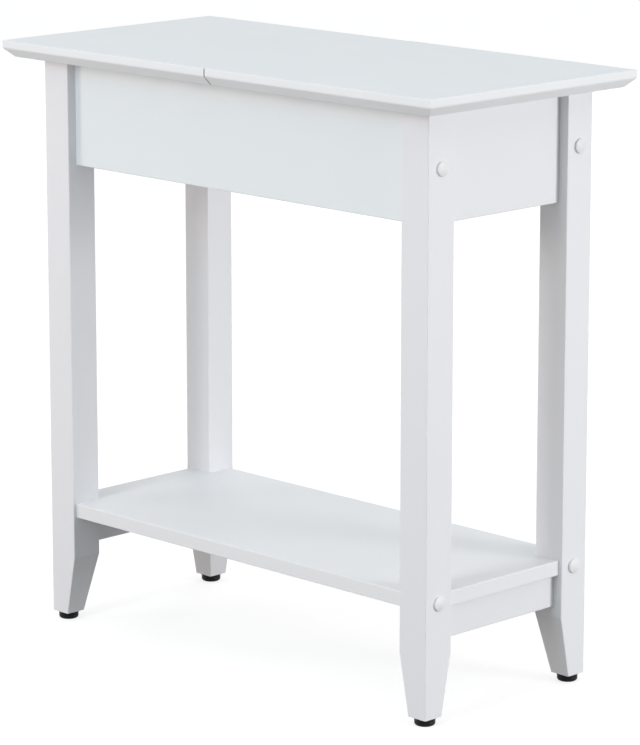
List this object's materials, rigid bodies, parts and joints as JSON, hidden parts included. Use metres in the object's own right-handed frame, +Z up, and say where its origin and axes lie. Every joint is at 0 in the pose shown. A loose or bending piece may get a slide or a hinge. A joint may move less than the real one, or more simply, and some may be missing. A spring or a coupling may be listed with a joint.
{
  "type": "lift top end table",
  "caption": "Narrow end table with square legs, a lower shelf, and a storage box under a top whose right half lifts on concealed hinges.",
  "frame": {"origin": "on the floor, under the middle of the table", "axes": "+Z up; +X along the table, from the fixed half of the top towards the lid; +Y from the front to the rear, the narrow way"},
  "size_m": [0.6, 0.288, 0.61],
  "materials": {
    "white_paint": "satin white paint on wood and board",
    "panel_board": "thin board painted white on the inner face",
    "bare_wood": "bare softwood and beech",
    "zinc_steel": "bright zinc plated steel",
    "nickel_steel": "nickel plated pressed steel",
    "white_plastic": "white moulded plastic",
    "black_plastic": "black moulded plastic",
    "clear_rubber": "clear soft bumper"
  },
  "bodies": {
    "frame": {"leg_front_left": "white_paint", "leg_front_right": "white_paint", "leg_rear_left": "white_paint", "leg_rear_right": "white_paint", "front_apron": "white_paint", "rear_apron": "white_paint", "left_end_apron": "white_paint", "right_end_apron": "white_paint", "left_lower_rail": "white_paint", "right_lower_rail": "white_paint", "shelf_board": "white_paint", "box_bottom_panel": "panel_board", "divider": "white_paint", "top_cleats": "bare_wood", "fixed_top": "white_paint", "connector_bolts": "zinc_steel", "bolt_caps": "white_plastic", "barrel_nuts": "zinc_steel", "apron_dowels": "bare_wood", "end_frame_dowels": "bare_wood", "divider_dowels": "bare_wood", "top_screws": "zinc_steel", "bottom_screws": "zinc_steel", "hinge_mounting_plates": "nickel_steel", "hinge_plate_screws": "nickel_steel", "hinge_arms": "nickel_steel", "hinge_arm_screws": "nickel_steel", "hinge_arm_pins": "nickel_steel", "glides": "black_plastic", "glide_nails": "zinc_steel"},
    "lid": {"lift_lid": "white_paint", "lid_bumpers": "clear_rubber", "hinge_cups": "nickel_steel", "hinge_cup_screws": "nickel_steel", "hinge_cup_pins": "nickel_steel"},
    "outer_links": {"hinge_outer_links": "nickel_steel"},
    "inner_links": {"hinge_inner_links": "nickel_steel", "hinge_guide_pins": "nickel_steel"}
  },
  "joints": [
    {"name": "outer_link_swing", "type": "hinge", "parent": "frame", "child": "outer_links", "pos_m": [0.0271, 0, 0.578], "axis": [0, -1, 0], "range_deg": [-51.49, 0]},
    {"name": "lid_lift", "type": "hinge", "parent": "outer_links", "child": "lid", "pos_m": [0.0085, 0, 0.5948], "axis": [0, -1, 0], "range_deg": [0, 146.4]},
    {"name": "inner_link_swing", "type": "hinge", "parent": "frame", "child": "inner_links", "pos_m": [0.0249, 0, 0.58985], "axis": [0, -1, 0], "range_deg": [-59.48, 0]}
  ],
  "couplings": [
    {"joint": "outer_link_swing", "follows": "lid_lift", "ratio": -0.35107},
    {"joint": "inner_link_swing", "follows": "lid_lift", "ratio": -0.40558}
  ]
}
